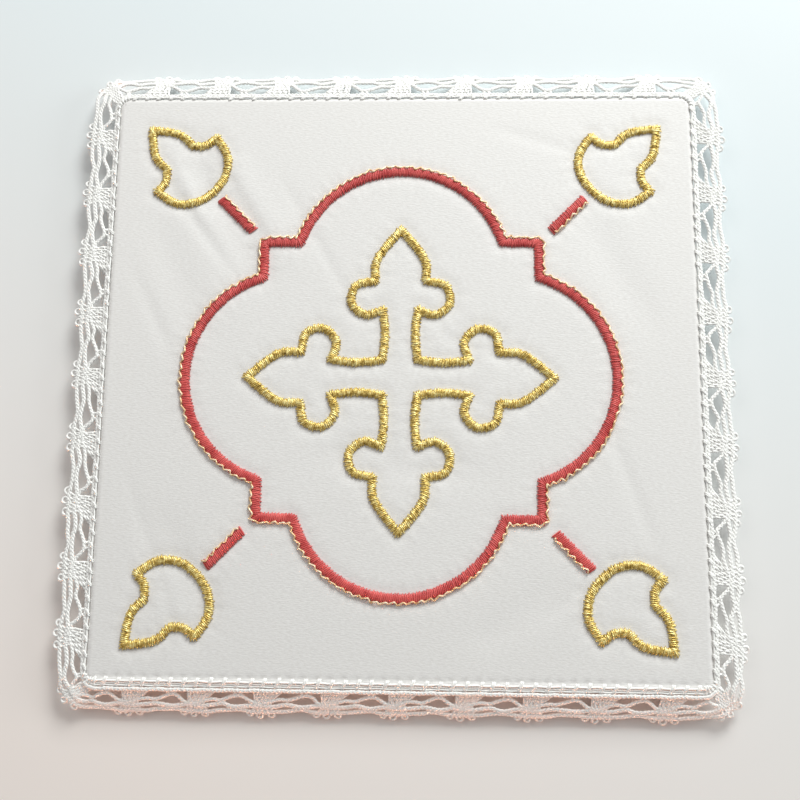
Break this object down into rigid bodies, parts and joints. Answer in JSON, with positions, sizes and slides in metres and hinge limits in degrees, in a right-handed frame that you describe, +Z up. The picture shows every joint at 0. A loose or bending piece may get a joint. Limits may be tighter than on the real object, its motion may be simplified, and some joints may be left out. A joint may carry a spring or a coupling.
{
  "type": "chalice pall",
  "caption": "Stiff flat square of white cloth edged with narrow cotton lace and embroidered in red and gold, laid over a chalice to keep it covered.",
  "frame": {"origin": "on the surface that the pall lies on, under the middle of its outline", "axes": "+Z up out of the embroidered face, +Y towards the far edge as it lies before the reader, +X to the right"},
  "size_m": [0.167, 0.1658, 0.0063],
  "materials": {
    "cloth": "white matte satin cloth with a fine wavy grain",
    "lace": "white twisted cotton thread, matte",
    "red_thread": "red rayon thread in satin stitch, soft sheen",
    "gold_thread": "gold metallic thread in satin stitch, glinting"
  },
  "bodies": {
    "root": {"cloth_square": "cloth", "lace_edging": "lace", "quatrefoil_stitching": "red_thread", "cross_stitching": "gold_thread", "leaf_stitching_1": "gold_thread", "leaf_stitching_2": "gold_thread", "leaf_stitching_3": "gold_thread", "leaf_stitching_4": "gold_thread", "stem_stitching_1": "red_thread", "stem_stitching_2": "red_thread", "stem_stitching_3": "red_thread", "stem_stitching_4": "red_thread"}
  },
  "joints": []
}
